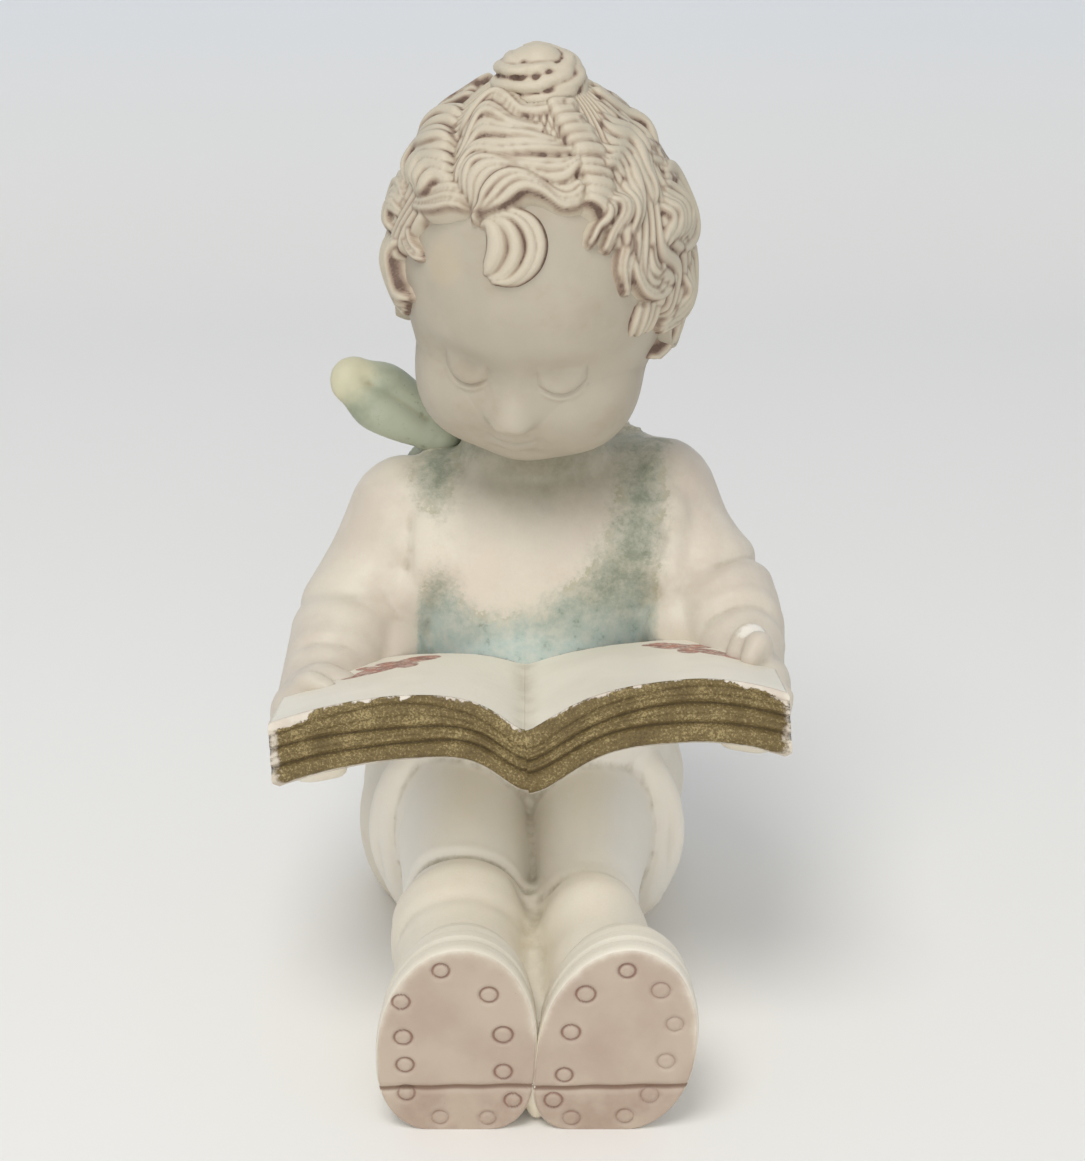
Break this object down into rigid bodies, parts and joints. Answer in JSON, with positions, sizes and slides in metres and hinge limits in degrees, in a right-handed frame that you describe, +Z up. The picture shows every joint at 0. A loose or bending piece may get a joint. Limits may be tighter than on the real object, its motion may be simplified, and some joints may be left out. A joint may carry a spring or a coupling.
{
  "type": "figurine",
  "caption": "Cast resin figurine of a seated child with curly hair reading an open book, legs stretched out in front, ground flat beneath to sit on a shelf",
  "frame": {"origin": "centre of the flat ground patch under the seat, on the surface that the figurine sits on", "axes": "+Z up, the child faces -Y, +X is the child's left hand, on the right of a viewer in front"},
  "size_m": [0.0765, 0.1031, 0.1406],
  "materials": {
    "cast_resin": "matte cold-cast resin with stone dust, painted and rubbed"
  },
  "bodies": {
    "root": {"reading_child": "cast_resin"}
  },
  "joints": []
}
